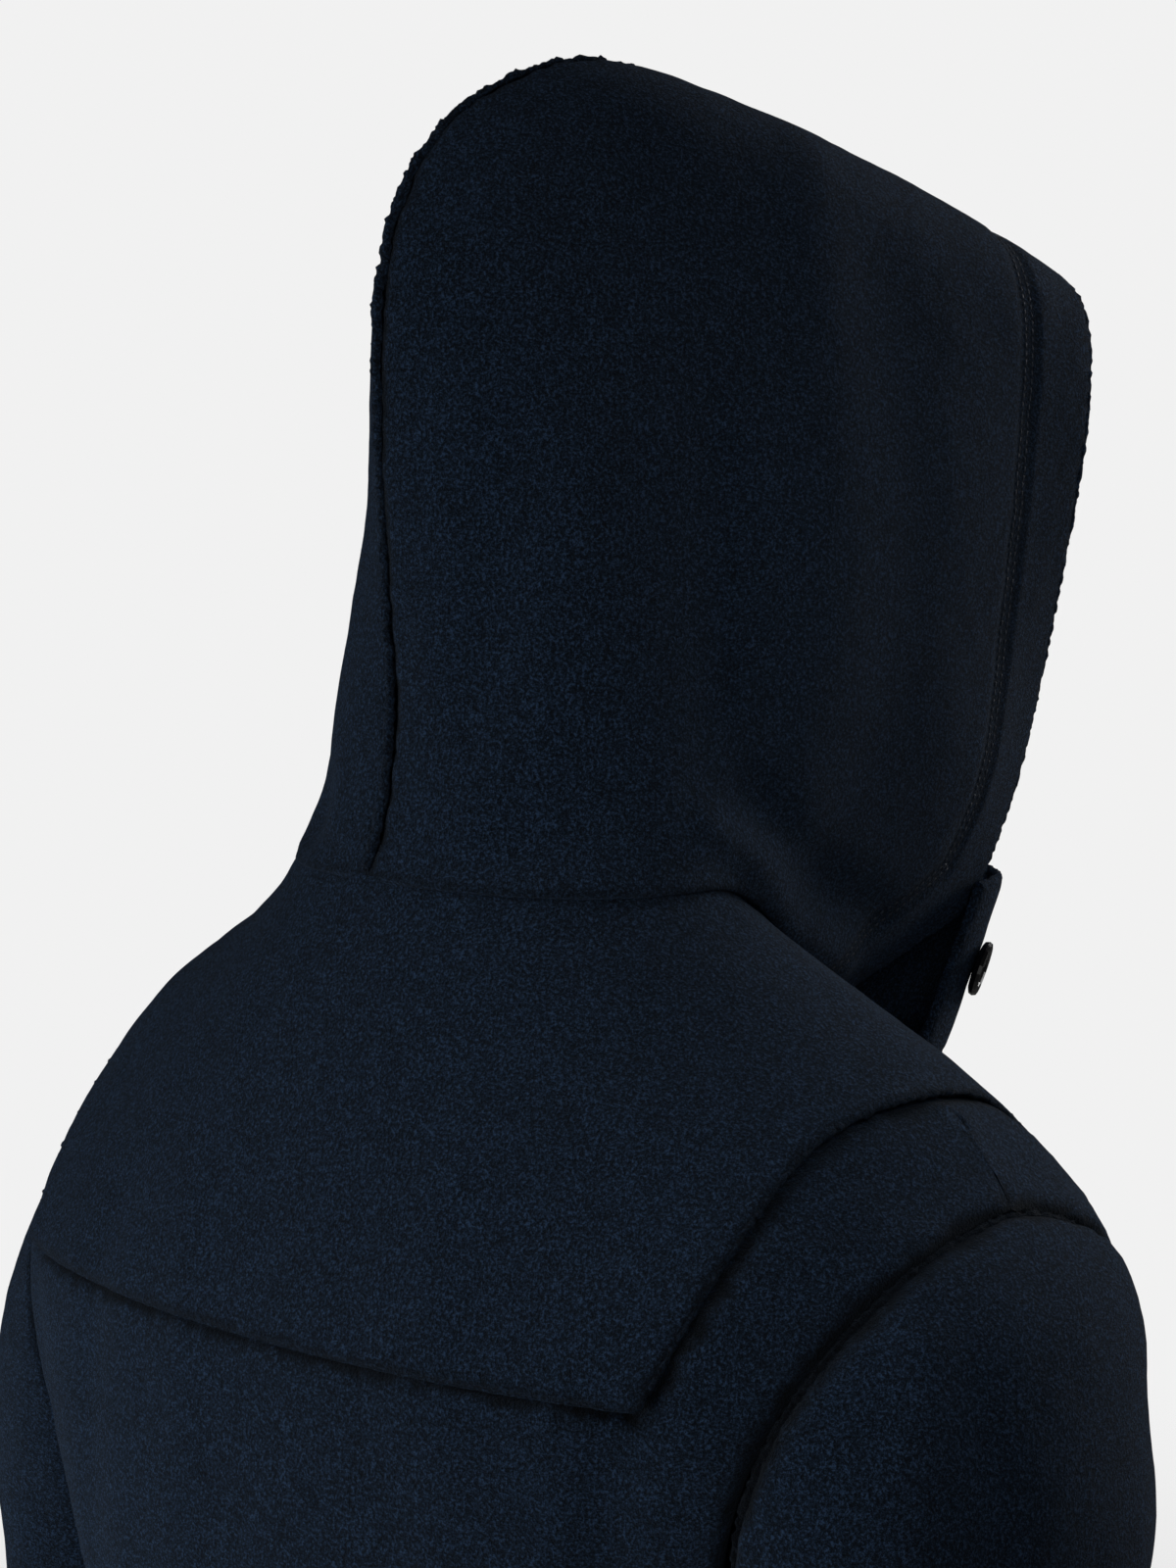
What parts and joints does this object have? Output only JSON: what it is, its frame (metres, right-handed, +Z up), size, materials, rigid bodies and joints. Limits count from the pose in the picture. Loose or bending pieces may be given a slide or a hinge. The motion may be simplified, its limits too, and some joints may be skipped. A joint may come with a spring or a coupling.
{
  "type": "duffle coat",
  "caption": "Hooded wool duffle coat as worn, hood up, with yoke, set-in sleeves, throat tab and toggle front, hollow throughout.",
  "frame": {"origin": "at the nape, on the seam where the hood meets the coat, where the wearer's neck and shoulders hold it up", "axes": "+Z up, the wearer faces -Y, the wearer's left is +X"},
  "size_m": [0.632, 0.4067, 1.2338],
  "materials": {
    "boiled_wool": "matte",
    "button_plastic": "gloss",
    "toggle_horn": "satin",
    "patch_leather": "satin",
    "loop_cord": "matte"
  },
  "bodies": {
    "root": {"back": "boiled_wool", "front_left": "boiled_wool", "front_right": "boiled_wool", "hood_button": "button_plastic", "hood_left": "boiled_wool", "hood_right": "boiled_wool", "loop_left_1": "loop_cord", "loop_left_2": "loop_cord", "loop_left_3": "loop_cord", "loop_right_1": "loop_cord", "loop_right_2": "loop_cord", "loop_right_3": "loop_cord", "patch_left_1": "patch_leather", "patch_left_2": "patch_leather", "patch_left_3": "patch_leather", "patch_right_1": "patch_leather", "patch_right_2": "patch_leather", "patch_right_3": "patch_leather", "sleeve_left": "boiled_wool", "sleeve_right": "boiled_wool", "throat_button_left": "button_plastic", "throat_button_right": "button_plastic", "throat_tab": "boiled_wool", "toggle_1": "toggle_horn", "toggle_2": "toggle_horn", "toggle_3": "toggle_horn", "yoke": "boiled_wool"}
  },
  "joints": []
}
